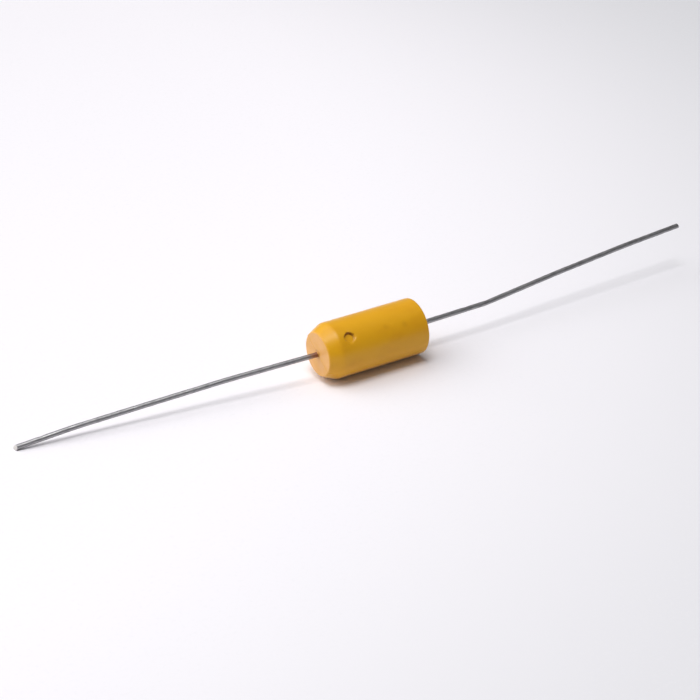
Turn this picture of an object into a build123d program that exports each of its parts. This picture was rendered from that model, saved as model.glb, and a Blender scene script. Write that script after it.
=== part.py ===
from build123d import *
import os
from math import radians, sqrt, tan

# Moulded axial-lead solid tantalum capacitor, lying on a table. All sizes are in millimetres.
# The origin is on the axis of the moulded case, midway along it. +X runs along that axis towards
# the negative lead, and the bevelled nose with the positive lead looks along -X. +Z is up.

# Moulded case
case_diameter = 7.112
case_length = 13.97
nose_face_diameter = 5.57
nose_bevel_length = 1.62
nose_shoulder_radius = 1.2
nose_edge_bevel = 0.14
tail_edge_bevel = 0.18

# Round mark that a pin of the mould leaves in the side of the case. The pin is parallel to the way
# the mould opens, and stands to one side of the axis, so its flat end sits askew in the round side.
mould_opening_angle = 33.5
ejector_mark_diameter = 1.3
ejector_mark_depth = 0.24
ejector_mark_from_nose = 3.05
ejector_mark_offset = 0.61

# Low ridge of moulding compound where the two halves of the mould met
flash_ridge_width = 0.11
flash_ridge_height = 0.035

# Both leads
lead_diameter = 0.635
lead_exit_straight = 1.2
lead_end_slant = 9.0
lead_end_edge_bevel = 0.05

# Positive lead: how far each point of its route lies from the nose face, and to the side of the axis.
# The lead sags until its tip lies on the table.
positive_first_bend_reach = 11.7
positive_first_bend_side = 1.40
positive_first_bend_drop = 0.68
positive_second_bend_reach = 30.4
positive_second_bend_side = 3.64
positive_second_bend_above_table = 1.27
positive_tip_reach = 37.7
positive_tip_side = 4.51
positive_exit_radius = 4.0
positive_bow_radius = 110.0
positive_droop_radius = 70.0

# Negative lead: the same, from the flat tail face, with heights above the axis
negative_kink_reach = 10.9
negative_kink_side = -0.03
negative_kink_rise = 0.15
negative_bow_reach = 22.4
negative_bow_side = 0.44
negative_bow_rise = 1.16
negative_ease_reach = 33.8
negative_ease_side = 0.92
negative_ease_rise = 1.93
negative_tip_reach = 43.0
negative_tip_side = 1.31
negative_tip_rise = 2.31
negative_exit_radius = 30.0
negative_kink_radius = 16.0
negative_bow_radius = 170.0

# Pressed and sintered tantalum slug, with bevelled edges, and the tantalum wire pressed into it
pellet_diameter = 5.2
pellet_length = 8.2
pellet_edge_bevel = 0.3
riser_diameter = 0.5
riser_depth_in_pellet = 5.0
riser_free_length = 1.75

# Fluoropolymer washer round the riser, on the slug's top face
washer_diameter = 2.6
washer_thickness = 0.3

# Layers that cover the slug, from the inside out, and how far the two outer ones stop below its top
manganese_thickness = 0.07
graphite_thickness = 0.04
silver_thickness = 0.06
graphite_margin = 0.7
silver_margin = 1.1

# Solder joint between the silver coat and the headed end of the negative lead
solder_film = 0.1
solder_pad_diameter = 3.0
solder_rim_height = 0.12
solder_shoulder_diameter = 1.72
solder_shoulder_height = 0.46
solder_neck_wall = 0.08
solder_height = 0.95
lead_head_diameter = 1.5
lead_head_thickness = 0.28

# Weld that joins the riser to the positive lead: a fat band between two sloping shoulders
weld_diameter = 1.0
weld_length = 1.2
weld_band_length = 0.4

# From the silver coat's base to the flat tail face
tail_wall = 1.9

# How close to a plane an edge counts as lying in it, and how much of a run a bend may take up
in_plane = 0.001
bend_share_of_run = 0.45

# Places that follow from the sizes above
case_radius = case_diameter / 2
lead_radius = lead_diameter / 2
nose_x = -case_length / 2
tail_x = case_length / 2
table_z = -case_radius
manganese_cover = manganese_thickness
graphite_cover = manganese_cover + graphite_thickness
silver_cover = graphite_cover + silver_thickness
silver_base_x = tail_x - tail_wall
pellet_base_x = silver_base_x - silver_cover
pellet_top_x = pellet_base_x - pellet_length
weld_x = pellet_top_x - riser_free_length


def bar_along_x(radius, start_x, end_x):
    """Round bar on the case's axis, from start_x to end_x."""
    disc = Plane.YZ.offset(start_x) * Circle(radius)
    return extrude(disc, amount=end_x - start_x)


def rim_edges(solid, x):
    """The round edges of a turned solid that lie in the plane at x."""
    circles = solid.edges().filter_by(GeomType.CIRCLE)
    return circles.filter_by_position(Axis.X, x - in_plane, x + in_plane)


def widest_bend(before, corner, after):
    """Largest bend radius whose arc leaves the corner's two runs some straight wire."""
    run_in = Vector(*corner) - Vector(*before)
    run_out = Vector(*after) - Vector(*corner)
    half_turn = radians(run_in.get_angle(run_out) / 2)
    return bend_share_of_run * min(run_in.length, run_out.length) / tan(half_turn)


def bent_wire(points, bend_radii):
    """Round wire along straight runs that are joined by tangent arcs, one radius for each corner.

    Where two runs are too short for the wanted radius, the arc is as wide as they allow.
    """
    corners = zip(points, points[1:], points[2:])
    radii = [min(wanted, widest_bend(*corner)) for wanted, corner in zip(bend_radii, corners)]
    path = FilletPolyline(*points, radius=radii)
    section = Plane(origin=points[0], z_dir=path % 0) * Circle(lead_radius)
    return sweep(section, path=path)


def sheared_end(wire, tip, before_tip):
    """Cuts a wire's free end a little out of square, as shears leave it, and takes off its edge."""
    outward = (Vector(*tip) - Vector(*before_tip)).normalized()
    lean = lead_radius * tan(radians(lead_end_slant))
    end_plane = Plane(origin=Vector(*tip) - outward * lean, z_dir=outward)
    blade_size = 6 * lead_diameter
    blade = Box(blade_size, blade_size, blade_size, align=(Align.CENTER, Align.CENTER, Align.MIN))
    wire = wire - end_plane * Rot(lead_end_slant, 0, 0) * blade
    cut_face = wire.faces().sort_by_distance(end_plane.origin)[0]
    return chamfer(cut_face.edges(), length=min(lead_end_edge_bevel, lead_radius / 2))


def case_form(growth=0.0):
    """Outer form of the moulded case, with its bevelled nose. growth makes it fatter all over."""
    barrel_radius = case_radius + growth
    face_radius = nose_face_diameter / 2 + growth
    outline = Polyline(
        (nose_x - growth, 0),
        (nose_x - growth, face_radius),
        (nose_x + nose_bevel_length, barrel_radius),
        (tail_x + growth, barrel_radius),
        (tail_x + growth, 0),
        close=True,
    )
    section = make_face(outline)
    shoulder = (nose_x + nose_bevel_length, barrel_radius, 0)
    section = fillet(section.vertices().sort_by_distance(shoulder)[0], radius=nose_shoulder_radius)
    form = revolve(section, axis=Axis.X)
    form = chamfer(rim_edges(form, nose_x - growth), length=nose_edge_bevel)
    return chamfer(rim_edges(form, tail_x + growth), length=tail_edge_bevel)


def ejector_mark():
    """Flat-ended pin, whose end reaches ejector_mark_depth below the top of the case's round side."""
    pin = Cylinder(
        ejector_mark_diameter / 2, case_radius, align=(Align.CENTER, Align.CENTER, Align.MIN)
    )
    pin = Pos(0, -ejector_mark_offset, case_radius - ejector_mark_depth) * pin
    return Pos(nose_x + ejector_mark_from_nose, 0, 0) * Rot(mould_opening_angle, 0, 0) * pin


def flash_ridge():
    """Thin ridge round the case, square to the way the mould opens, where its halves met."""
    slab = Box(2 * case_length, 2 * case_diameter, flash_ridge_width)
    return case_form(flash_ridge_height) & (Rot(mould_opening_angle, 0, 0) * slab)


def positive_lead_route():
    """Corner points of the positive lead, from its welded end to its tip on the table."""
    return [
        (weld_x, 0, 0),
        (nose_x - lead_exit_straight, 0, 0),
        (nose_x - positive_first_bend_reach, positive_first_bend_side, -positive_first_bend_drop),
        (
            nose_x - positive_second_bend_reach,
            positive_second_bend_side,
            table_z + positive_second_bend_above_table,
        ),
        (nose_x - positive_tip_reach, positive_tip_side, table_z + lead_radius),
    ]


def negative_lead_route():
    """Corner points of the negative lead, from its soldered head to its raised tip."""
    return [
        (silver_base_x + solder_film, 0, 0),
        (tail_x + lead_exit_straight, 0, 0),
        (tail_x + negative_kink_reach, negative_kink_side, negative_kink_rise),
        (tail_x + negative_bow_reach, negative_bow_side, negative_bow_rise),
        (tail_x + negative_ease_reach, negative_ease_side, negative_ease_rise),
        (tail_x + negative_tip_reach, negative_tip_side, negative_tip_rise),
    ]


def make_positive_lead():
    """Coated nickel wire from the weld out through the nose."""
    route = positive_lead_route()
    wire = bent_wire(route, [positive_exit_radius, positive_bow_radius, positive_droop_radius])
    return sheared_end(wire, route[-1], route[-2])


def make_negative_lead():
    """Coated nickel wire with a flat head, which the solder grips, out through the tail face."""
    route = negative_lead_route()
    radii = [negative_exit_radius, negative_kink_radius, negative_bow_radius, negative_bow_radius]
    wire = sheared_end(bent_wire(route, radii), route[-1], route[-2])
    head_x = silver_base_x + solder_film
    return wire + bar_along_x(lead_head_diameter / 2, head_x, head_x + lead_head_thickness)


def make_riser_wire():
    """Tantalum wire, pressed deep into the slug and standing out of its top face."""
    return bar_along_x(riser_diameter / 2, weld_x, pellet_top_x + riser_depth_in_pellet)


def coated_bevel(cover):
    """Edge bevel of the slug under a cover of that thickness, so that the cover is even all over."""
    return pellet_edge_bevel + cover * (2 - sqrt(2))


def coated_form(cover, top_x):
    """The slug's outside under a cover of that thickness, from top_x down to its bevelled base."""
    base_x = pellet_base_x + cover
    form = bar_along_x(pellet_diameter / 2 + cover, top_x, base_x)
    return chamfer(rim_edges(form, base_x), length=coated_bevel(cover))


def pellet_form(cover=0.0):
    """The slug's outside under a cover of that thickness, bevelled at both ends."""
    top_x = pellet_top_x - cover
    form = coated_form(cover, top_x)
    return chamfer(rim_edges(form, top_x), length=coated_bevel(cover))


def make_anode_pellet():
    """Sintered tantalum slug with the hole that its riser fills."""
    return pellet_form() - make_riser_wire()


def make_ptfe_washer():
    """Washer round the riser, on the slug's top face."""
    disc = bar_along_x(washer_diameter / 2, pellet_top_x - washer_thickness, pellet_top_x)
    return disc - make_riser_wire()


def make_manganese_dioxide_layer():
    """Black cathode layer all over the slug, up to the washer."""
    washer_seat = bar_along_x(washer_diameter / 2, pellet_top_x - washer_thickness, pellet_top_x)
    return pellet_form(manganese_cover) - pellet_form() - washer_seat


def make_graphite_coat():
    """Graphite cup over the manganese dioxide, into which the slug was dipped."""
    rim_x = pellet_top_x + graphite_margin
    return coated_form(graphite_cover, rim_x) - coated_form(manganese_cover, rim_x)


def make_silver_coat():
    """Silver cup over the graphite, with its rim a little lower."""
    rim_x = pellet_top_x + silver_margin
    return coated_form(silver_cover, rim_x) - coated_form(graphite_cover, rim_x)


def make_solder_joint():
    """Solder that slopes from its rim on the silver coat, over the lead's head, up to its neck."""
    outline = Polyline(
        (silver_base_x, 0),
        (silver_base_x, solder_pad_diameter / 2),
        (silver_base_x + solder_rim_height, solder_pad_diameter / 2),
        (silver_base_x + solder_shoulder_height, solder_shoulder_diameter / 2),
        (silver_base_x + solder_height, lead_radius + solder_neck_wall),
        (silver_base_x + solder_height, 0),
        close=True,
    )
    return revolve(make_face(outline), axis=Axis.X) - make_negative_lead()


def make_weld_bead():
    """Swollen bead of metal where the riser and the positive lead were welded end to end."""
    outline = Polyline(
        (weld_x - weld_length / 2, 0),
        (weld_x - weld_band_length / 2, weld_diameter / 2),
        (weld_x + weld_band_length / 2, weld_diameter / 2),
        (weld_x + weld_length / 2, 0),
        close=True,
    )
    bead = revolve(make_face(outline), axis=Axis.X)
    return bead - make_riser_wire() - make_positive_lead()


def make_case(inner_pieces):
    """Epoxy moulded round everything inside, so its hollow has exactly their shape."""
    case = case_form() + flash_ridge() - ejector_mark()
    for piece in inner_pieces:
        case = case - piece
    return case


os.makedirs("parts", exist_ok=True)
pieces = {
    "positive_lead": make_positive_lead(),
    "negative_lead": make_negative_lead(),
    "riser_wire": make_riser_wire(),
    "anode_pellet": make_anode_pellet(),
    "ptfe_washer": make_ptfe_washer(),
    "manganese_dioxide_layer": make_manganese_dioxide_layer(),
    "graphite_coat": make_graphite_coat(),
    "silver_coat": make_silver_coat(),
    "solder_joint": make_solder_joint(),
    "weld_bead": make_weld_bead(),
}
pieces["case"] = make_case(pieces.values())
for name, solid in pieces.items():
    export_step(solid, f"parts/{name}.step")
    print(name, round(solid.volume, 4))
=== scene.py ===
"""Looks of a moulded axial tantalum capacitor that lies on a pale surface.

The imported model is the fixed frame, in metres: +X runs along the case's axis towards the negative lead,
+Z is up, and the origin is on that axis, midway along the case. Values whose names end in _mm are in
millimetres, and MM turns them to metres. An angle round the case is measured from its top, +Z, towards
-Y, the side that the camera looks at.
"""

import logging
import math
from abc import ABC, abstractmethod
from dataclasses import dataclass
from enum import Enum
from typing import Any, Sequence

import bpy
import numpy as np
from mathutils import Matrix, Vector


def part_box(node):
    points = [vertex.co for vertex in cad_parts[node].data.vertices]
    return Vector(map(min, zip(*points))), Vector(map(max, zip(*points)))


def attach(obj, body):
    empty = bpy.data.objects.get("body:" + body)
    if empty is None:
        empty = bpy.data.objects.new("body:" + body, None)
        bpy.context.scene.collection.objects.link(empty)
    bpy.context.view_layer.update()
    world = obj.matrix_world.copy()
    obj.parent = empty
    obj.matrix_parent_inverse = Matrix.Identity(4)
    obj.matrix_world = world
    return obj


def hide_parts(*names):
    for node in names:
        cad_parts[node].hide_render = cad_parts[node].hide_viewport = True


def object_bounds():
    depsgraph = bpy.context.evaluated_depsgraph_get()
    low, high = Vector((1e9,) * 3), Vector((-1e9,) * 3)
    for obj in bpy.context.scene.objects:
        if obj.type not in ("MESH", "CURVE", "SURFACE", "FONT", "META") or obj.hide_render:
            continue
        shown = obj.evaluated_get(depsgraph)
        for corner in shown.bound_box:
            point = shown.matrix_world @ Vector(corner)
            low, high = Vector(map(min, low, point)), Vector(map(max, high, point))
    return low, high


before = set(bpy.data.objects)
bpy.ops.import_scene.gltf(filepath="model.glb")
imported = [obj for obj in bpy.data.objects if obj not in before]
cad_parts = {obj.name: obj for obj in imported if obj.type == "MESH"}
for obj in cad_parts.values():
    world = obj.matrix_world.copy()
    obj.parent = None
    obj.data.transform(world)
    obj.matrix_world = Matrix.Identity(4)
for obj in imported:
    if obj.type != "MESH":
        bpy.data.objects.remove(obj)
CAD_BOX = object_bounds()

MM = 0.001
FULL_TURN = 2 * math.pi
IMAGE_SIDE_PX = 700
CASE_LENGTH_MM = 13.97
TABLE_HEIGHT_MM = -3.556
# The two leads read their patterns this far to either side, in metres, so that they don't look alike.
PATTERN_SHIFT = 1.0
RUNNING_SUM_STEPS = 8000
Array = np.ndarray
Piece = bpy.types.Object
Tree = bpy.types.NodeTree
Socket = bpy.types.NodeSocket
Point = tuple[float, float, float]
# Waves over a piece: the rate for each millimetre, the count round the piece, the start and the size.
Waves = tuple[tuple[float, float, float, float], ...]
log = logging.getLogger("capacitor")


class Lead(Enum):
    """The two leads, by the way that each one runs out of the case along X."""

    POSITIVE = -1
    NEGATIVE = 1


class Coordinates(Enum):
    """Where a finish reads its patterns from."""

    OBJECT = "object"
    STRAIGHT_WIRE = "straight_wire"


def linear(hex_code: str) -> tuple[float, float, float, float]:
    """Turns an sRGB hex colour to the linear colour that shaders take.

    Args:
        hex_code: six hex digits, such as "D9A02C".

    Returns:
        Linear red, green and blue, and an alpha of 1.
    """
    shares = [int(hex_code[i : i + 2], 16) / 255 for i in (0, 2, 4)]
    low = [share / 12.92 for share in shares]
    high = [((share + 0.055) / 1.055) ** 2.4 for share in shares]
    red, green, blue = (a if share <= 0.04045 else b for share, a, b in zip(shares, low, high))
    return (red, green, blue, 1.0)


def smooth_step(values: Array) -> Array:
    """Rises from 0 to 1 as its input does, with a level start and end: 3t squared less 2t cubed."""
    share = np.clip(values, 0, 1)
    return share * share * (3 - 2 * share)


def soft_band(distance: Array, reach: float) -> Array:
    """Falls from 1 at half the reach, through a half at the reach, to 0 at one and a half times it."""
    return smooth_step(1.5 - distance / reach)


def wave_sum(x: Array, angle: Array, waves: Waves) -> Array:
    """Adds up waves, each its size times the sine of (rate times x + count times angle + start)."""
    return sum(size * np.sin(rate * x + count * angle + start) for rate, count, start, size in waves)


def rounded_path(corners: Array, radii: Sequence[float], arc_steps: int) -> Array:
    """Runs along corners and puts a tangent arc in place of each inner one, where the path must turn.

    An arc of radius r at a corner that turns by angle a starts and ends r tan(a/2) from the corner, and
    its centre lies r / cos(a/2) from it, on the line that halves the corner. The arc's points are that
    centre plus r times the start's direction, turned by equal shares of a.

    Args:
        corners: the corner points, one row each, in a plane or in space.
        radii: one radius for each inner corner, in the corners' unit.
        arc_steps: how many equal steps each arc has.

    Returns:
        The path's points, one row each.
    """
    pieces = [corners[:1]]
    for before, corner, after, radius in zip(corners, corners[1:], corners[2:], radii):
        run_in = (corner - before) / np.linalg.norm(corner - before)
        run_out = (after - corner) / np.linalg.norm(after - corner)
        turn = math.acos(float(np.clip(run_in @ run_out, -1, 1)))
        inward = (run_out - run_in) / np.linalg.norm(run_out - run_in)
        centre = corner + inward * radius / math.cos(turn / 2)
        start = corner - run_in * radius * math.tan(turn / 2)
        angles = np.linspace(0, turn, arc_steps + 1)[:, None]
        pieces.append(centre + (start - centre) * np.cos(angles) + run_in * radius * np.sin(angles))
    pieces.append(corners[-1:])
    return np.vstack(pieces)


def graded(length: float, coarse: float, fine: float, spots: Sequence[tuple[float, float]]) -> Array:
    """Spaces values from 0 to length, close together near some spots.

    The spacing at s is coarse, less (coarse - fine) times a smooth bump that is 1 within a spot's half
    width and 0 past twice that. The values are where the running sum of 1 / spacing is a whole number.

    Args:
        length: the last value.
        coarse: spacing away from the spots.
        fine: spacing at the spots.
        spots: (place, half width) of each spot.

    Returns:
        The values, in rising order.
    """
    s = np.linspace(0, length, RUNNING_SUM_STEPS + 1)
    near = np.zeros_like(s)
    for place, half_width in spots:
        near = np.maximum(near, smooth_step(2 - np.abs(s - place) / half_width))
    density = 1 / (coarse - (coarse - fine) * near)
    count = np.concatenate([[0], np.cumsum((density[1:] + density[:-1]) / 2 * np.diff(s))])
    whole = math.ceil(count[-1])
    return np.interp(np.arange(whole + 1), count * whole / count[-1], s)


def along(path: Array) -> Array:
    """Distance of each of a path's points from its start, measured along the path."""
    return np.concatenate([[0], np.cumsum(np.linalg.norm(np.diff(path, axis=0), axis=1))])


def resampled(rows: Array, known: Array, wanted: Array) -> Array:
    """Rows at the wanted places, on the straight lines between the rows at the known places."""
    return np.column_stack([np.interp(wanted, known, column) for column in rows.T])


def wire_radius_mm() -> float:
    """The leads' radius, from the frame: the positive lead's highest point is its straight start."""
    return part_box("positive_lead")[1].z / MM


def wrapped_quads(rows: int, columns: int, close_rows: bool) -> Array:
    """Faces of a grid of points that is closed round its columns.

    Point (i, j) has number i * columns + j, and face (i, j) joins it to the points one further along
    in i, in both, and in j.

    Args:
        rows: number of rows of points.
        columns: number of points in a row.
        close_rows: True if the last row joins the first one, as on a ring.

    Returns:
        Four point numbers for each face.
    """
    i, j = np.meshgrid(np.arange(rows if close_rows else rows - 1), np.arange(columns), indexing="ij")
    down, across = (i + 1) % rows, (j + 1) % columns
    corners = (i * columns + j, down * columns + j, down * columns + across, i * columns + across)
    return np.stack(corners, axis=-1).reshape(-1, 4)


def enclosed_volume(points: Array, faces: Sequence[Sequence[int]]) -> float:
    """Volume inside a closed mesh: a sixth of the sum of a . (b x c) over its triangles."""
    total = 0.0
    for size in {len(face) for face in faces}:
        same = np.array([face for face in faces if len(face) == size])
        for k in range(1, size - 1):
            a, b, c = points[same[:, 0]], points[same[:, k]], points[same[:, k + 1]]
            total += float(np.einsum("ij,ij->", a, np.cross(b, c))) / 6
    return total


def placed(name: str, data: bpy.types.ID) -> Piece:
    """Makes an object of a mesh, lamp or camera, at the origin, and links it to the scene."""
    thing = bpy.data.objects.new(name, data)
    bpy.context.scene.collection.objects.link(thing)
    return thing


def closed_mesh(name: str, points: Array, faces: list[list[int]], sharp_deg: float) -> Piece:
    """Makes a piece from a closed mesh, with its faces pointing outwards.

    Args:
        name: the piece's name.
        points: its points in metres, in the row frame.
        faces: the point numbers of each face.
        sharp_deg: edges whose faces meet at more than this angle stay crisp.

    Returns:
        The new object, at the origin and linked to the scene.
    """
    if enclosed_volume(points, faces) < 0:
        faces = [face[::-1] for face in faces]
    mesh = bpy.data.meshes.new(name)
    mesh.from_pydata(points.tolist(), [], faces)
    mesh.polygons.foreach_set("use_smooth", np.ones(len(faces), dtype=bool))
    mesh.set_sharp_from_angle(angle=math.radians(sharp_deg))
    mesh.validate()
    mesh.update()
    return placed(name, mesh)


def add_attribute(piece: Piece, name: str, kind: str, values: Array) -> None:
    """Stores one value for each point of a piece, for its finish to read.

    Args:
        piece: the piece.
        name: the attribute's name.
        kind: FLOAT or FLOAT_VECTOR.
        values: one number or vector for each point.
    """
    attribute = piece.data.attributes.new(name, kind, "POINT")
    field_name = "vector" if kind == "FLOAT_VECTOR" else "value"
    attribute.data.foreach_set(field_name, values.astype(np.float32).ravel())


def add_node(
    tree: Tree,
    kind: str,
    inputs: dict[Any, Any] | None = None,
    links: dict[Any, Socket] | None = None,
    **settings: Any,
) -> bpy.types.Node:
    """Adds a node with its settings and links.

    Args:
        tree: the node tree.
        kind: Blender's name for the kind of node.
        inputs: value for each input, by name or number.
        links: source for each linked input, by name or number.
        settings: the node's own properties.

    Returns:
        The new node.
    """
    node = tree.nodes.new(kind)
    for name, value in settings.items():
        setattr(node, name, value)
    for socket, value in (inputs or {}).items():
        node.inputs[socket].default_value = value
    for socket, source in (links or {}).items():
        tree.links.new(source, node.inputs[socket])
    return node


@dataclass(frozen=True, kw_only=True)
class Layer(ABC):
    """Something that lies on a finish: its colour, how strongly that covers, and how high it rises."""

    colour: str
    strength: float = 1.0
    relief_mm: float = 0.0

    @abstractmethod
    def draw(self, tree: Tree, place: Socket) -> tuple[Socket, Socket]:
        """Draws the layer.

        Args:
            tree: the material's node tree.
            place: the coordinates to draw it on, in metres.

        Returns:
            The layer's height, from 0 to 1, and the share by which its colour covers.
        """


@dataclass(frozen=True, kw_only=True)
class Grain(Layer):
    """Noise whose grains have a real size. Its colour starts to show where the noise passes the window's
    first value, and its strength is full where the noise is past the second."""

    grain_mm: float
    window: tuple[float, float]
    detail: float = 3.0
    coarseness: float = 0.55
    stretch: Point = (1.0, 1.0, 1.0)

    def draw(self, tree: Tree, place: Socket) -> tuple[Socket, Socket]:
        """Draws the noise on coordinates divided by the grain's size, and stretched with it.

        Args:
            tree: the material's node tree.
            place: the coordinates to draw it on, in metres.

        Returns:
            The noise itself, and the share by which the colour covers.
        """
        scale = tuple(1 / (self.grain_mm * MM * longer) for longer in self.stretch)
        mapped = add_node(tree, "ShaderNodeMapping", {"Scale": scale}, {"Vector": place})
        look = {"Scale": 1.0, "Detail": self.detail, "Roughness": self.coarseness}
        noise = add_node(tree, "ShaderNodeTexNoise", look, {"Vector": mapped.outputs["Vector"]})
        limits = {"From Min": self.window[0], "From Max": self.window[1], "To Max": self.strength}
        value = {"Value": noise.outputs["Fac"]}
        cover = add_node(tree, "ShaderNodeMapRange", limits, value, interpolation_type="SMOOTHSTEP")
        return noise.outputs["Fac"], cover.outputs["Result"]


@dataclass(frozen=True, kw_only=True)
class Patch(Layer):
    """A soft round patch, full up to its inner radius and gone at its outer one. Noise of the broken
    grain eats into it, as far as the broken share says."""

    centre_mm: Point
    outer_mm: float
    inner_mm: float = 0.0
    broken_grain_mm: float = 0.5
    broken_share: float = 0.5
    gap_window: tuple[float, float] = (0.4, 0.62)

    def draw(self, tree: Tree, place: Socket) -> tuple[Socket, Socket]:
        """Draws the patch from the distance to its centre.

        Args:
            tree: the material's node tree.
            place: the coordinates to draw it on, in metres.

        Returns:
            The patch before it is broken up, and the share by which the colour covers.
        """
        centre = tuple(value * MM for value in self.centre_mm)
        away = add_node(tree, "ShaderNodeVectorMath", {1: centre}, {0: place}, operation="DISTANCE")
        limits = {"From Min": self.inner_mm * MM, "From Max": self.outer_mm * MM}
        limits |= {"To Min": self.strength, "To Max": 0.0}
        value = {"Value": away.outputs["Value"]}
        whole = add_node(tree, "ShaderNodeMapRange", limits, value, interpolation_type="SMOOTHSTEP")
        gaps = Grain(colour=self.colour, grain_mm=self.broken_grain_mm, window=self.gap_window)
        _, kept = gaps.draw(tree, place)
        share = add_node(tree, "ShaderNodeMapRange", {"To Min": 1 - self.broken_share}, {"Value": kept})
        both = {0: whole.outputs["Result"], 1: share.outputs["Result"]}
        cover = add_node(tree, "ShaderNodeMath", links=both, operation="MULTIPLY")
        return whole.outputs["Result"], cover.outputs["Value"]


@dataclass(frozen=True, kw_only=True)
class MarkedArea(Layer):
    """A layer that covers where one of the piece's attributes is 1."""

    attribute: str

    def draw(self, tree: Tree, place: Socket) -> tuple[Socket, Socket]:
        """Reads the attribute.

        Args:
            tree: the material's node tree.
            place: not used, because the attribute says where the layer is.

        Returns:
            The attribute as the height, and times the strength as the share that covers.
        """
        marked = add_node(tree, "ShaderNodeAttribute", attribute_name=self.attribute).outputs["Fac"]
        cover = add_node(tree, "ShaderNodeMapRange", {"To Max": self.strength}, {"Value": marked})
        return marked, cover.outputs["Result"]


@dataclass(frozen=True, kw_only=True)
class Finish:
    """A finish: layers over a base colour on a Principled shader, with a gloss that varies in grains."""

    name: str
    base: str
    layers: tuple[Layer, ...]
    roughness: tuple[float, float]
    gloss_grain_mm: float = 0.3
    gloss_window: tuple[float, float] = (0.3, 0.7)
    slot: str = ""
    metallic: float = 0.0
    specular: float = 0.5
    sheen: float = 0.0
    sheen_roughness: float = 0.5
    translucence_mm: float = 0.0
    coordinates: Coordinates = Coordinates.OBJECT

    def material(self) -> bpy.types.Material:
        """Builds the material.

        Each layer's colour is mixed over the colour so far, and its relief bumps the normal so far.

        Returns:
            The new material.
        """
        made = bpy.data.materials.new(self.name)
        made.use_nodes = True
        tree = made.node_tree
        tree.nodes.clear()
        values = {
            "Metallic": self.metallic,
            "Specular IOR Level": self.specular,
            "Sheen Weight": self.sheen,
            "Sheen Roughness": self.sheen_roughness,
            "Subsurface Weight": 1.0 if self.translucence_mm else 0.0,
            "Subsurface Scale": self.translucence_mm * MM,
        }
        shader = add_node(tree, "ShaderNodeBsdfPrincipled", values)
        add_node(tree, "ShaderNodeOutputMaterial", links={"Surface": shader.outputs["BSDF"]})
        place = self.place(tree)
        over, under = {}, {}
        for layer in self.layers:
            height, cover = layer.draw(tree, place)
            colours = {"A": linear(self.base), "B": linear(layer.colour)}
            mix = add_node(tree, "ShaderNodeMix", colours, {"Factor": cover, **over}, data_type="RGBA")
            over = {"A": mix.outputs["Result"]}
            if layer.relief_mm:
                distance = {"Distance": layer.relief_mm * MM}
                bump = add_node(tree, "ShaderNodeBump", distance, {"Height": height, **under})
                under = {"Normal": bump.outputs["Normal"]}
        for source, socket in ((over, "Base Color"), (under, "Normal")):
            for result in source.values():
                tree.links.new(result, shader.inputs[socket])
        gloss = Grain(colour=self.base, grain_mm=self.gloss_grain_mm, window=self.gloss_window)
        _, share = gloss.draw(tree, place)
        limits = dict(zip(("To Min", "To Max"), self.roughness))
        dull = add_node(tree, "ShaderNodeMapRange", limits, {"Value": share})
        tree.links.new(dull.outputs["Result"], shader.inputs["Roughness"])
        return made

    def place(self, tree: Tree) -> Socket:
        """Gives the coordinates, in metres, that the layers are drawn on."""
        if self.coordinates is Coordinates.OBJECT:
            return add_node(tree, "ShaderNodeTexCoord").outputs["Object"]
        return add_node(tree, "ShaderNodeAttribute", attribute_name=self.coordinates.value).outputs["Vector"]


def moulded_epoxy() -> Finish:
    """Gives the case's finish: epoxy filled with mineral powder, transfer-moulded in a steel mould.

    To the eye that is an even, opaque yellow-orange with a soft gloss, a very shallow orange peel and
    hardly any grain. The powder at the skin scatters light at a glancing angle, which pales the outline.
    """
    nose_mm, tail_mm = -CASE_LENGTH_MM / 2, CASE_LENGTH_MM / 2
    lead_rings = ((nose_mm, 0.75, 0.72), (tail_mm, 0.55, 0.66))
    rubbed_places = (((1.25, -2.46, 2.56), 0.55), ((3.8, -2.68, 2.32), 0.7))
    return Finish(
        name="transfer_moulded_epoxy", slot="moulded_epoxy", base="E0A312",
        layers=(
            Grain(colour="D6950E", strength=0.7, grain_mm=3.2, window=(0.42, 0.75), stretch=(2.0, 1.0, 1.0)),
            Grain(colour="E7AA1E", strength=0.4, grain_mm=1.3, window=(0.55, 0.85)),
            # Orange peel, which is relief alone.
            Grain(colour="E0A312", strength=0.0, grain_mm=0.45, window=(0.4, 0.6), relief_mm=0.004),
            # The filler's real grains are about 0.02 mm, so they are drawn at 0.09 mm to show at all.
            Grain(colour="8A5A1C", strength=0.3, grain_mm=0.09, window=(0.70, 0.80), relief_mm=0.0015),
            # The nose face is painted paler: a painted reflection, where it catches the bright floor and the
            # light from the left.
            Patch(
                colour="E9B07A", strength=0.6, centre_mm=(nose_mm, 0, 0), inner_mm=2.55,
                outer_mm=2.95, broken_grain_mm=1.4, broken_share=0.35,
            ),
            # The case is painted darker brown in a ring round each lead's hole.
            *(
                Patch(
                    colour="8E5A1A", strength=strength, centre_mm=(end_mm, 0, 0), inner_mm=0.34,
                    outer_mm=outer_mm, broken_grain_mm=0.35, broken_share=0.6,
                )
                for end_mm, strength, outer_mm in lead_rings
            ),
            # Grime and painted shade darken the foot of the pin's mark, most on the upper side, where shade
            # falls.
            MarkedArea(colour="7A3A02", strength=0.92, attribute="mark_corner_shade"),
            # Rubbed places on the side are a little darker, with no edge of their own.
            *(
                Patch(colour="B47A16", strength=0.28, centre_mm=centre_mm, outer_mm=outer_mm)
                for centre_mm, outer_mm in rubbed_places
            ),
        ),
        roughness=(0.3, 0.38), gloss_grain_mm=0.7, specular=0.35, sheen=0.5, sheen_roughness=0.3,
    )


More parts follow.
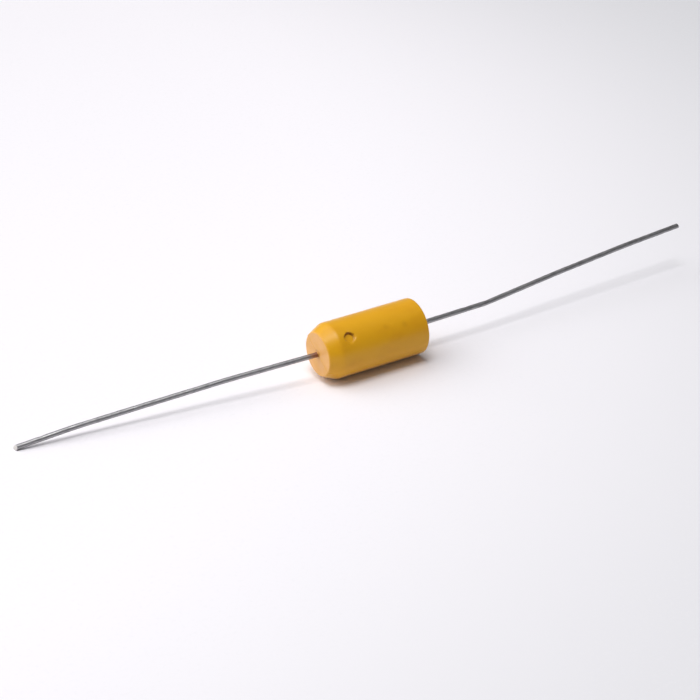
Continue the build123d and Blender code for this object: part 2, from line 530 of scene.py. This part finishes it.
def coated_nickel() -> Finish:
    """Gives the leads' finish: drawn nickel wire with a thin hot-dipped solder coat.

    To the eye that is a mid-grey metal with a broken soft shine, faint lines along the wire from the
    drawing die, duller patches, and a cut end painted near white: bare nickel with a painted highlight.
    """
    return Finish(
        name="solder_coated_nickel", slot="coated_nickel", base="A3A2A4",
        layers=(
            # The die's lines are a few micrometres wide, so they are drawn at 0.07 mm.
            Grain(
                colour="8C8D90", strength=0.6, grain_mm=0.07, window=(0.45, 0.65),
                stretch=(22.0, 1.0, 1.0), relief_mm=0.002,
            ),
            Grain(colour="7A797C", strength=0.5, grain_mm=0.9, window=(0.45, 0.75), relief_mm=0.012),
            Grain(colour="6A696C", strength=0.35, grain_mm=0.35, window=(0.55, 0.85), relief_mm=0.006),
            # Painted reflection: the wire is painted brown a little way out of the case, for the orange case
            # reflected in it.
            MarkedArea(colour="8A4E28", strength=0.75, attribute="painted_case_reflection"),
            # The cut end is painted near white: bare nickel, with a painted highlight where the cut face
            # catches light.
            MarkedArea(colour="E4E1DC", strength=0.9, attribute="cut_end"),
        ),
        roughness=(0.4, 0.56), gloss_grain_mm=0.5, metallic=1.0,
        coordinates=Coordinates.STRAIGHT_WIRE,
    )


def pale_card() -> Finish:
    """Gives the floor's finish: smooth matt card, calendered, with painted light falloff.

    To the eye that is plain and nearly white, with a faint tooth; painted falloff makes it lighter on the
    left and a shade greyer towards the right.
    """
    return Finish(
        name="card_with_painted_falloff", base="D2D2D6",
        layers=(
            # Painted light falloff: lighter towards the left, a shade greyer towards the right.
            Patch(
                colour="F4F1F6", centre_mm=(-101.0, 116.0, TABLE_HEIGHT_MM), inner_mm=135.0,
                outer_mm=240.0, broken_share=0.0,
            ),
            Grain(colour="E4E3E7", strength=0.25, grain_mm=0.5, window=(0.5, 0.8)),
        ),
        roughness=(0.85, 0.92), gloss_grain_mm=2.0, specular=0.2,
    )


@dataclass
class MouldedCase:
    """The epoxy case: a turned profile whose hollow fits what is inside, with the mark of the mould's
    pin, the ridge where the mould's halves met and a little resin drawn up each lead."""

    finish: Finish
    nose_face_radius_mm: float = 2.785
    bevel_length_mm: float = 1.62
    end_to_end_mm: float = CASE_LENGTH_MM
    shoulder_radius_mm: float = 1.2
    nose_edge_radius_mm: float = 0.2
    tail_edge_radius_mm: float = 0.24
    resin_collar_mm: float = 0.13
    collar_lean: float = 0.3
    mould_opening_deg: float = 33.5
    mark_radius_mm: float = 0.635
    mark_depth_mm: float = 0.32
    mark_from_nose_mm: float = 3.05
    mark_offset_mm: float = 0.61
    mark_edge_mm: float = 0.05
    mark_worn_edge_mm: float = 0.33
    mark_worn_share: float = 0.55
    mark_worn_towards_deg: float = 52.0
    mark_worn_spread_deg: float = 62.0
    # Width of the grime and painted shade at the mark's foot, and the side where the shade falls.
    mark_shade_mm: float = 0.1
    mark_shade_towards_deg: float = -78.0
    mark_side_cosine: float = 0.5
    ridge_height_mm: float = 0.03
    ridge_half_width_mm: float = 0.055
    waviness_mm: float = 0.006
    slow_waves: Waves = ((0.9, 2, 0.4, 1.0), (1.7, -3, 2.1, 0.6), (0.5, 5, 1.2, 0.4))
    # Round each lead's hole the faces stay even for this width, and become uneven over the next one.
    smooth_ring_mm: float = 0.15
    ring_fade_mm: float = 0.3
    # Sloped corners of the hollow: at the coats, at the solder joint's outer and inner end, at the weld.
    coat_slope_mm: float = 0.4
    solder_cone_mm: float = 0.5
    solder_edge_mm: float = 0.12
    weld_edge_mm: float = 0.1
    # Spacing of the points along the outside and, in radians, round it: plain places and fine ones.
    coarse_mm: float = 0.22
    fine_mm: float = 0.03
    coarse_angle: float = 0.05
    fine_angle: float = 0.0075
    arc_steps: int = 12
    sharp_deg: float = 50.0

    @property
    def radius_mm(self) -> float:
        """The barrel's radius, from the frame."""
        low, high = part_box("case")
        return (high.y - low.y) / 2 / MM

    def outer_profile(self) -> tuple[Array, Array]:
        """Works out the outside, as (x, r) from the positive lead's hole round to the negative lead's.

        Straight runs joined by arcs: resin collar, nose face, bevel, barrel, tail face, resin collar.

        Returns:
            The points in millimetres, and each one's unit normal, the run's direction turned left.
        """
        nose, tail = -self.end_to_end_mm / 2, self.end_to_end_mm / 2
        hole, collar = wire_radius_mm(), self.resin_collar_mm
        collar_foot = hole + self.collar_lean * collar
        corners = [
            (nose - collar, hole),
            (nose, collar_foot),
            (nose, self.nose_face_radius_mm),
            (nose + self.bevel_length_mm, self.radius_mm),
            (tail, self.radius_mm),
            (tail, collar_foot),
            (tail + collar, hole),
        ]
        radii = [collar, self.nose_edge_radius_mm, self.shoulder_radius_mm, self.tail_edge_radius_mm, collar]
        path = rounded_path(np.array(corners), radii, self.arc_steps)
        distance = along(path)
        length = distance[-1]
        face = self.nose_face_radius_mm - hole
        shoulder = face + math.hypot(self.bevel_length_mm, self.radius_mm - self.nose_face_radius_mm)
        mark = shoulder + self.mark_from_nose_mm - self.bevel_length_mm
        nose_spots = [(0, 0.25), (face + 0.1, 0.25), (shoulder, 0.35), (mark, 0.42)]
        tail_spots = [(length - self.radius_mm + hole, 0.3), (length, 0.25)]
        places = graded(length, self.coarse_mm, self.fine_mm, nose_spots + tail_spots)
        points = resampled(path, distance, places)
        run = np.gradient(points, axis=0)
        run /= np.linalg.norm(run, axis=1)[:, None]
        return points, np.column_stack([-run[:, 1], run[:, 0]])

    def hollow_profile(self) -> Array:
        """Works out the hollow, as (x, r) corners from the negative lead's hole back to the positive's.

        Returns:
            The corners in millimetres, read from the boxes of the pieces that fill the hollow.
        """

        def reach(node: str) -> Point:
            """First x, last x and radius of a turned piece, in millimetres."""
            low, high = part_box(node)
            return low.x / MM, high.x / MM, (high.z - low.z) / 2 / MM

        hole = wire_radius_mm()
        solder_start, solder_end, solder_radius = reach("solder_joint")
        silver_start, silver_end, silver_radius = reach("silver_coat")
        graphite_start, _, graphite_radius = reach("graphite_coat")
        layer_start, _, layer_radius = reach("manganese_dioxide_layer")
        washer_start, _, washer_radius = reach("ptfe_washer")
        weld_start, weld_end, weld_radius = reach("weld_bead")
        _, _, riser_radius = reach("riser_wire")
        slope = self.coat_slope_mm
        corners = [
            (solder_end, hole),
            (solder_end - self.solder_cone_mm, hole + self.solder_cone_mm),
            (solder_start + self.solder_edge_mm, solder_radius),
            (solder_start, solder_radius),
            (silver_end, silver_radius - slope),
            (silver_end - slope, silver_radius),
            (silver_start, silver_radius),
            (silver_start, graphite_radius),
            (graphite_start, graphite_radius),
            (graphite_start, layer_radius),
            (layer_start + slope, layer_radius),
            (layer_start, layer_radius - slope),
            (layer_start, washer_radius),
            (washer_start, washer_radius),
            (washer_start, riser_radius),
            (weld_end, riser_radius),
            (weld_end - self.weld_edge_mm, weld_radius),
            (weld_start + self.weld_edge_mm, weld_radius),
            (weld_start, hole),
        ]
        return np.array(corners)

    def angles(self) -> Array:
        """Works out the angles round the case, close together at the mark and at the two ridges."""
        opening = math.radians(self.mould_opening_deg)
        mark = opening + math.asin(self.mark_offset_mm / self.radius_mm)
        start = opening - math.pi / 2
        spots = [(0, 0.03), (mark - start, 0.115), (math.pi, 0.03), (FULL_TURN, 0.03)]
        return start + graded(FULL_TURN, self.coarse_angle, self.fine_angle, spots)[:-1]

    def ridge(self, radius: Array, angle: Array) -> Array:
        """Height of the ridge: a smooth bump across the plane where the mould's halves met.

        The plane holds the case's axis and is square to the way the mould opens, so a point's distance
        from it is its radius times the cosine of its angle from that way.
        """
        away = np.abs(radius * np.cos(angle - math.radians(self.mould_opening_deg)))
        return self.ridge_height_mm * soft_band(away, self.ridge_half_width_mm)

    def sunk_mark(self, x: Array, radius: Array, angle: Array) -> tuple[Array, Array]:
        """Sinks the pin's mark into the side.

        The pin's flat end is a plane: a point at angle a from the way the mould opens is on it at a
        radius of the plane's height over cos a. Inside the pin's circle the side drops to that plane.
        The flank is steep, but on the side that dragged as the pin drew back, a share of the drop is a
        slope outside the circle. Grime and painted shade thin as exp(-d squared) with distance d from the
        flank's foot, and as half of (1 + cos b) with the angle b from the side where shade falls.

        Args:
            x: each point's place along the case, in millimetres.
            radius: each point's radius before the mark, in millimetres.
            angle: each point's angle round the case.

        Returns:
            Each point's radius in millimetres, and how much grime and painted shade lie on it, from 0 to 1.
        """
        turn = angle - math.radians(self.mould_opening_deg)
        facing = np.cos(turn)
        near_side = facing > self.mark_side_cosine
        sideways = radius * np.sin(turn) - self.mark_offset_mm
        lengthways = x + self.end_to_end_mm / 2 - self.mark_from_nose_mm
        away = np.hypot(sideways, lengthways)
        towards = np.arctan2(sideways, lengthways)
        from_worn = towards - math.radians(self.mark_worn_towards_deg)
        aside = np.abs(np.arctan2(np.sin(from_worn), np.cos(from_worn)))
        worn = self.mark_worn_share * soft_band(aside, math.radians(self.mark_worn_spread_deg))
        flank = smooth_step((self.mark_radius_mm - away) / self.mark_edge_mm + 0.5)
        slope = smooth_step((self.mark_radius_mm - away) / self.mark_worn_edge_mm + 1)
        inside = flank + (slope - flank) * worn
        plane = (self.radius_mm - self.mark_depth_mm) / np.maximum(facing, self.mark_side_cosine)
        drop = np.where(near_side, np.maximum(radius - plane, 0), 0)
        # Painted shade, with some grime, at the flank's foot: darkest on the side where shade falls.
        foot = (away - self.mark_radius_mm + self.mark_edge_mm / 2) / self.mark_shade_mm
        shaded_side = (1 + np.cos(towards - math.radians(self.mark_shade_towards_deg))) / 2
        grime_and_shade = np.exp(-(foot**2)) * shaded_side * near_side
        return radius - drop * inside, grime_and_shade

    def build(self) -> Piece:
        """Builds and dresses the case.

        A closed profile (x, r) is turned about X: a point at angle a is (x, -r sin a, r cos a).

        Returns:
            The case's piece, which stands for the CAD node.
        """
        outer, normals = self.outer_profile()
        hollow = self.hollow_profile()
        angle = self.angles()[None, :]
        x = outer[:, :1] + 0 * angle
        radius = outer[:, 1:] + 0 * angle
        clear_of_hole = smooth_step((radius - wire_radius_mm() - self.smooth_ring_mm) / self.ring_fade_mm)
        uneven = self.waviness_mm * wave_sum(x, angle, self.slow_waves) / 2
        growth = (self.ridge(radius, angle) + uneven) * clear_of_hole
        x = x + normals[:, :1] * growth
        radius, grime_and_shade = self.sunk_mark(x, radius + normals[:, 1:] * growth, angle)
        grime_and_shade = np.vstack([grime_and_shade, np.zeros((len(hollow), grime_and_shade.shape[1]))])
        x = np.vstack([x, hollow[:, :1] + 0 * angle])
        radius = np.vstack([radius, hollow[:, 1:] + 0 * angle])
        points = np.stack([x, -radius * np.sin(angle), radius * np.cos(angle)], axis=-1) * MM
        faces = wrapped_quads(*x.shape, close_rows=True).tolist()
        piece = closed_mesh("moulded_case", points.reshape(-1, 3), faces, self.sharp_deg)
        # The mark's corner carries painted shade as well as grime.
        add_attribute(piece, "mark_corner_shade", "FLOAT", grime_and_shade)
        piece.data.materials.append(self.finish.material())
        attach(piece, "root")
        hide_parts("case")
        log.info("moulded_case: %d faces", len(faces))
        return piece


@dataclass
class LeadWire:
    """One lead: round wire along straight runs and wide bends, with small dents from handling, ripples
    in its coat, a sheared free end and, on the negative lead, the flat head that the solder grips."""

    lead: Lead
    finish: Finish
    corners_mm: tuple[Point, ...]
    bend_radii_mm: tuple[float, ...]
    # Each dent's place along the wire in mm, its side in degrees and its share of the depth.
    dents: tuple[tuple[float, float, float], ...]
    head_radius_mm: float = 0.0
    head_thickness_mm: float = 0.0
    shear_deg: float = 9.0
    shear_towards_deg: float = 0.0
    end_rounding_mm: float = 0.07
    ripple_mm: float = 0.006
    ripples: Waves = ((1.9, 2, 0.0, 1.0), (3.7, -1, 1.0, 1.0))
    # How far out of the case the wire is painted brown, as a painted reflection of the case.
    case_reflection_mm: float = 0.5
    dent_depth_mm: float = 0.03
    dent_length_mm: float = 0.35
    sides: int = 40
    step_mm: float = 0.12
    arc_steps: int = 24
    end_steps: int = 5
    sharp_deg: float = 40.0

    @property
    def node(self) -> str:
        """The CAD node that this piece stands for."""
        return f"{self.lead.name.lower()}_lead"

    def stations(self, length: float) -> tuple[Array, Array]:
        """Works out where the rings lie along the wire and how thick each is before its dents.

        A head, if there is one, is two rings at its own radius. The free end's rings follow a quarter
        circle: at an angle a the ring is a rounding's share (1 - cos a) thinner and sin a further on.

        Args:
            length: the wire's length in millimetres.

        Returns:
            Each ring's distance from the inner end, and its radius, in millimetres.
        """
        start = self.head_thickness_mm
        count = round((length - self.end_rounding_mm - start) / self.step_mm)
        places = np.linspace(start, length - self.end_rounding_mm, count)
        radii = np.full(count, wire_radius_mm())
        turn = np.linspace(0, math.pi / 2, self.end_steps + 1)[1:]
        places = np.append(places, length - self.end_rounding_mm * (1 - np.sin(turn)))
        radii = np.append(radii, wire_radius_mm() - self.end_rounding_mm * (1 - np.cos(turn)))
        if self.head_radius_mm:
            places = np.append([0, start], places)
            radii = np.append([self.head_radius_mm, self.head_radius_mm], radii)
        return places, radii

    def dented(self, place: Array, radius: Array, angle: Array) -> Array:
        """Radius of the wire's side: its own, plus slow ripples, less a smooth hollow at each dent.

        A dent's depth falls off as exp(-d squared), d being the distance along the wire over the
        dent's length, and as the fourth power of the cosine of the angle from the dent.
        """
        radius = radius + self.ripple_mm * wave_sum(place, angle, self.ripples) / 2
        for where, towards_deg, depth_share in self.dents:
            fall = np.exp(-(((place - where) / self.dent_length_mm) ** 2))
            facing = np.maximum(np.cos(angle - math.radians(towards_deg)), 0) ** 4
            radius = radius - self.dent_depth_mm * depth_share * fall * facing
        return radius

    def build(self) -> Piece:
        """Builds and dresses the lead.

        A ring at distance s is the centreline's point there, plus r sin a times a level direction square
        to the wire and r cos a times the one square to both. The shear leans the last rings, moving
        a point back along the wire by the tangent of its angle times r cos (a - its side).

        Returns:
            The lead's piece, which stands for the CAD node.
        """
        path = rounded_path(np.array(self.corners_mm), self.bend_radii_mm, self.arc_steps)
        distance = along(path)
        place, radius = self.stations(distance[-1])
        centre = resampled(path, distance, place)
        ahead = resampled(np.gradient(path, distance, axis=0), distance, place)
        ahead /= np.linalg.norm(ahead, axis=1)[:, None]
        side = np.cross(ahead, np.array([0.0, 0.0, 1.0]))
        side /= np.linalg.norm(side, axis=1)[:, None]
        above = np.cross(side, ahead)
        angle = np.linspace(0, FULL_TURN, self.sides, endpoint=False)[None, :]
        ring_place = place[:, None] + 0 * angle
        ring_radius = self.dented(ring_place, radius[:, None] + 0 * angle, angle)
        near_end = smooth_step(1 - (place[-1] - ring_place) / (2 * wire_radius_mm()))
        across = np.cos(angle - math.radians(self.shear_towards_deg))
        slant = -near_end * math.tan(math.radians(self.shear_deg)) * ring_radius * across
        offset = (
            side[:, None] * (ring_radius * np.sin(angle))[..., None]
            + above[:, None] * (ring_radius * np.cos(angle))[..., None]
            + ahead[:, None] * slant[..., None]
        )
        rings = centre[:, None] + offset
        ends = rings[[0, -1]].mean(axis=1)
        points = np.vstack([rings.reshape(-1, 3), ends])
        rows = len(place)
        faces = wrapped_quads(rows, self.sides, close_rows=False).tolist()
        first_ring = np.arange(self.sides)
        one_on = (first_ring + 1) % self.sides
        last_start = (rows - 1) * self.sides
        first_cap = (np.full(self.sides, len(points) - 2), first_ring, one_on)
        last_cap = (np.full(self.sides, len(points) - 1), last_start + one_on, last_start + first_ring)
        faces += np.column_stack(first_cap + last_cap).reshape(-1, 3).tolist()
        piece = closed_mesh(f"{self.node}_wire", points * MM, faces, self.sharp_deg)
        self.mark_surface(piece, ring_place, ring_radius, angle)
        piece.data.materials.append(self.finish.material())
        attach(piece, "root")
        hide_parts(self.node)
        log.info("%s: %.1f mm of wire, %d faces", piece.name, place[-1], len(faces))
        return piece

    def mark_surface(self, piece: Piece, place: Array, radius: Array, angle: Array) -> None:
        """Stores each point's place on the wire before it was bent, and marks the cut end and the painted
        reflection.

        The painted reflection of the case thins smoothly from 1, where the wire leaves the case, to 0 at its
        length.

        Args:
            piece: the lead's piece.
            place: each ring point's distance along the wire, in millimetres.
            radius: each ring point's radius, in millimetres.
            angle: each ring point's angle round the wire.
        """
        straight = np.stack([place, radius * np.cos(angle), radius * np.sin(angle)], axis=-1) * MM
        shift = self.lead.value * PATTERN_SHIFT
        straight[..., 1] += shift
        ends = np.array([[place[0, 0] * MM, shift, 0], [place[-1, 0] * MM, shift, 0]])
        straight = np.vstack([straight.reshape(-1, 3), ends])
        add_attribute(piece, Coordinates.STRAIGHT_WIRE.value, "FLOAT_VECTOR", straight)
        cut = np.zeros(place.shape)
        cut[-2:] = 1
        add_attribute(piece, "cut_end", "FLOAT", np.append(cut.ravel(), [0, 1]))
        leaves_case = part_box("case")[1].x / MM - abs(self.corners_mm[0][0])
        # Painted reflection of the orange case, fading along the wire.
        painted_reflection = smooth_step(1 - (place - leaves_case) / self.case_reflection_mm)
        add_attribute(piece, "painted_case_reflection", "FLOAT", np.append(painted_reflection.ravel(), [1, 0]))


@dataclass
class InnerStack:
    """What the case hides: the slug, its riser and weld, the washer, the cathode layers and the solder.
    Their CAD solids have the right form, so each one only gets its finish."""

    finishes: dict[str, Finish]

    def build(self) -> None:
        """Dresses each inner CAD node with its finish."""
        for node, finish in self.finishes.items():
            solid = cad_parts[node]
            solid.data.materials.clear()
            solid.data.materials.append(finish.material())
            log.info("%s: dressed as %s", node, finish.name)


@dataclass(frozen=True)
class Glow:
    """A soft bright part of the room: its strength times the cosine of the angle from its middle, to the
    power of its sharpness. Azimuth turns from +X towards +Y."""

    azimuth_deg: float
    elevation_deg: float
    sharpness: float
    strength: float

    @property
    def direction(self) -> Point:
        """The unit vector towards its middle."""
        azimuth, elevation = math.radians(self.azimuth_deg), math.radians(self.elevation_deg)
        level = math.cos(elevation)
        return (level * math.cos(azimuth), level * math.sin(azimuth), math.sin(elevation))


@dataclass(frozen=True)
class SoftBox:
    """A rectangular lamp with an even face, turned to the case, its long side along the case."""

    direction: Point
    length_mm: float
    width_mm: float
    power: float
    distance_mm: float = 520.0

    def build(self) -> None:
        """Hangs the lamp.

        Its face looks back along its direction. Its length lies along +X, less the part of +X that
        points along that direction.
        """
        towards = Vector(self.direction).normalized()
        lengthwise = (Vector((1, 0, 0)) - towards * towards.x).normalized()
        turned = Matrix((lengthwise, towards.cross(lengthwise), towards)).transposed().to_4x4()
        light = bpy.data.lights.new("soft_box", "AREA")
        light.shape = "RECTANGLE"
        light.size = self.length_mm * MM
        light.size_y = self.width_mm * MM
        light.energy = self.power
        place = Matrix.Translation(towards * self.distance_mm * MM) @ turned
        placed("soft_box", light).matrix_world = place


@dataclass
class Studio:
    """Pale floor, a soft box nearly overhead, a broad window behind on the left, an otherwise dim room,
    and the camera of the photo."""

    card: Finish
    floor_side_mm: float = 6000.0
    lamp: SoftBox = SoftBox((-0.13, -0.09, 1.0), length_mm=210.0, width_mm=210.0, power=1.15)
    window: tuple[Glow, ...] = (
        Glow(azimuth_deg=143.0, elevation_deg=32.0, sharpness=8.0, strength=1.95),
        Glow(azimuth_deg=140.0, elevation_deg=55.0, sharpness=6.0, strength=1.8),
    )
    room_strength: float = 0.155
    camera_azimuth_deg: float = -32.238
    camera_elevation_deg: float = 28.416
    camera_distance_mm: float = 250.0
    focal_px: float = 2043.86
    case_centre_px: tuple[float, float] = (366.51, 339.70)
    sensor_mm: float = 36.0
    nearest_mm: float = 10.0
    farthest_mm: float = 20000.0

    def build(self) -> None:
        """Builds the floor, the light and the camera."""
        self.floor()
        self.lamp.build()
        self.room()
        self.camera()

    def floor(self) -> None:
        """Lays a pale card floor at the case's lowest point."""
        half, level = self.floor_side_mm / 2 * MM, CAD_BOX[0].z
        corners = [(-half, -half, level), (half, -half, level), (half, half, level), (-half, half, level)]
        mesh = bpy.data.meshes.new("floor")
        mesh.from_pydata(corners, [], [(0, 1, 2, 3)])
        plane = placed("floor", mesh)
        mesh.materials.append(self.card.material())
        log.info("floor at %.3f mm", level / MM)

    def room(self) -> None:
        """Lights the scene from the room: an even dim part, with the window's two glows added to it."""
        world = bpy.data.worlds.new("room")
        bpy.context.scene.world = world
        world.use_nodes = True
        tree = world.node_tree
        tree.nodes.clear()
        way = add_node(tree, "ShaderNodeTexCoord").outputs["Generated"]
        total: dict[int, Socket] = {}
        for glow in self.window:
            steps = (
                ("ShaderNodeVectorMath", glow.direction, "DOT_PRODUCT"),
                ("ShaderNodeMath", 0.0, "MAXIMUM"),
                ("ShaderNodeMath", glow.sharpness, "POWER"),
                ("ShaderNodeMath", glow.strength, "MULTIPLY"),
            )
            bright = way
            for kind, value, operation in steps:
                bright = add_node(tree, kind, {1: value}, {0: bright}, operation=operation).outputs["Value"]
            even = {} if total else {0: self.room_strength}
            added = add_node(tree, "ShaderNodeMath", even, {1: bright, **total}, operation="ADD")
            total = {0: added.outputs["Value"]}
        white = {"Color": (1, 1, 1, 1)}
        light = add_node(tree, "ShaderNodeBackground", white, {"Strength": total[0]})
        add_node(tree, "ShaderNodeOutputWorld", links={"Surface": light.outputs["Background"]})

    def camera(self) -> None:
        """Sets the camera where the photo was taken from, as a fit of the case's outline gave it."""
        azimuth, elevation = math.radians(self.camera_azimuth_deg), math.radians(self.camera_elevation_deg)
        level = math.cos(elevation)
        back = Vector((math.sin(azimuth) * level, -math.cos(azimuth) * level, math.sin(elevation)))
        right = Vector((math.cos(azimuth), math.sin(azimuth), 0))
        up = back.cross(right)
        lens = bpy.data.cameras.new("camera")
        lens.sensor_width = self.sensor_mm
        lens.lens = self.focal_px / IMAGE_SIDE_PX * self.sensor_mm
        lens.shift_x = 0.5 - self.case_centre_px[0] / IMAGE_SIDE_PX
        lens.shift_y = self.case_centre_px[1] / IMAGE_SIDE_PX - 0.5
        lens.clip_start = self.nearest_mm * MM
        lens.clip_end = self.farthest_mm * MM
        camera = placed("camera", lens)
        turned = Matrix((right, up, back)).transposed().to_4x4()
        camera.matrix_world = Matrix.Translation(back * self.camera_distance_mm * MM) @ turned
        bpy.context.scene.camera = camera


def make_leads() -> list[LeadWire]:
    """Gives the two leads, with their routes as the frame's solids have them."""
    nickel = coated_nickel()
    positive = LeadWire(
        lead=Lead.POSITIVE, finish=nickel,
        corners_mm=(
            (-5.035, 0, 0), (-8.185, 0, 0), (-18.685, 1.40, -0.68),
            (-37.385, 3.64, -2.286), (-44.685, 4.51, -3.2385),
        ),
        bend_radii_mm=(4.0, 110.0, 70.0),
        dents=((8.2, 60, 0.5), (17.4, 20, 0.8), (30.6, 50, 1.0), (36.9, 30, 1.4)),
        # Its painted brown reflection of the case runs further out than the negative lead's.
        shear_deg=34.0, shear_towards_deg=-50.0, case_reflection_mm=1.9,
    )
    negative = LeadWire(
        lead=Lead.NEGATIVE, finish=nickel,
        corners_mm=(
            (5.185, 0, 0), (8.185, 0, 0), (17.885, -0.03, 0.15),
            (29.385, 0.44, 1.16), (40.785, 0.92, 1.93), (49.985, 1.31, 2.31),
        ),
        bend_radii_mm=(30.0, 16.0, 170.0, 170.0),
        dents=((9.6, 320, 0.7), (12.9, 300, 1.2), (27.3, 340, 0.6), (38.0, 310, 0.9)),
        head_radius_mm=0.75, head_thickness_mm=0.28,
    )
    return [positive, negative]


def inner_finishes() -> dict[str, Finish]:
    """Gives the finish of each inner CAD node."""
    made = {}
    # Pressed tantalum powder, sintered in vacuum: dull dark grey, with a coarse open grain.
    made["anode_pellet"] = Finish(
        name="sintered_tantalum_powder", slot="sintered_tantalum", base="5A5B60",
        layers=(
            Grain(colour="3A3B40", grain_mm=0.05, window=(0.4, 0.65), relief_mm=0.012),
            Grain(colour="6C6D73", strength=0.5, grain_mm=0.4, window=(0.5, 0.8)),
        ),
        roughness=(0.62, 0.8), gloss_grain_mm=0.2, metallic=0.7,
    )
    # Tantalum wire drawn through a die: bluish grey, with fine lines along it.
    made["riser_wire"] = Finish(
        name="drawn_tantalum_wire", slot="tantalum_wire", base="72747C",
        layers=(
            Grain(
                colour="55575F", strength=0.7, grain_mm=0.04, window=(0.4, 0.65),
                stretch=(25.0, 1.0, 1.0), relief_mm=0.002,
            ),
        ),
        roughness=(0.3, 0.42), metallic=1.0,
    )
    # Fluoropolymer skived from a billet and punched: milky white, waxy, with faint skiving lines.
    made["ptfe_washer"] = Finish(
        name="skived_fluoropolymer", slot="ptfe", base="ECECE7",
        layers=(
            Grain(
                colour="DEDFD9", strength=0.8, grain_mm=0.12, window=(0.4, 0.7),
                stretch=(0.4, 6.0, 1.0), relief_mm=0.003,
            ),
        ),
        roughness=(0.38, 0.5), gloss_grain_mm=0.4, translucence_mm=0.3,
    )
    # Manganese nitrate baked to dioxide in many dips: a matt black crust with small lumps.
    made["manganese_dioxide_layer"] = Finish(
        name="baked_manganese_dioxide", slot="manganese_dioxide", base="1F1C1C",
        layers=(
            Grain(colour="34302E", grain_mm=0.08, window=(0.45, 0.7), relief_mm=0.018),
            Grain(colour="121010", strength=0.7, grain_mm=0.5, window=(0.5, 0.75)),
        ),
        roughness=(0.75, 0.92), gloss_grain_mm=0.2,
    )
    # Colloidal graphite dipped and dried: soft dark grey with a slight satin shine.
    made["graphite_coat"] = Finish(
        name="dipped_graphite", slot="graphite", base="2E2E31",
        layers=(Grain(colour="434347", strength=0.8, grain_mm=0.06, window=(0.4, 0.7), relief_mm=0.006),),
        roughness=(0.48, 0.62), metallic=0.2,
    )
    # Silver flakes in a thin lacquer, dipped: pale satin grey with the flakes just showing.
    made["silver_coat"] = Finish(
        name="dipped_silver_paint", slot="silver_paint", base="BDBDB8",
        layers=(Grain(colour="DAD9D2", strength=0.9, grain_mm=0.05, window=(0.45, 0.7), relief_mm=0.005),),
        roughness=(0.4, 0.55), metallic=0.85,
    )
    # Tin-lead solder frozen from the melt: bright, with broad dull crystals.
    made["solder_joint"] = Finish(
        name="frozen_tin_lead_solder", slot="solder", base="C6C7CA",
        layers=(
            Grain(colour="9B9CA0", strength=0.8, grain_mm=0.5, window=(0.45, 0.6), relief_mm=0.008),
            Grain(colour="D8D8D6", strength=0.5, grain_mm=0.12, window=(0.5, 0.7)),
        ),
        roughness=(0.18, 0.36), gloss_grain_mm=0.5, metallic=1.0,
    )
    # Nickel and tantalum melted together by a current pulse: grey, with a dark heat tint.
    made["weld_bead"] = Finish(
        name="welded_nickel_and_tantalum", slot="weld_metal", base="7E7D7B",
        layers=(
            Grain(colour="4E4A4A", strength=0.8, grain_mm=0.3, window=(0.45, 0.7), relief_mm=0.008),
            Grain(colour="6A5C4C", strength=0.5, grain_mm=0.6, window=(0.5, 0.8)),
        ),
        roughness=(0.35, 0.55), metallic=1.0,
    )
    return made


def main() -> None:
    """Builds the studio, the case, the leads and what is inside, in that order."""
    logging.basicConfig(level=logging.INFO, format="%(name)s: %(message)s")
    bpy.context.scene.view_settings.view_transform = "Standard"
    Studio(pale_card()).build()
    MouldedCase(moulded_epoxy()).build()
    for wire in make_leads():
        wire.build()
    InnerStack(inner_finishes()).build()


if __name__ == "__main__":
    main()
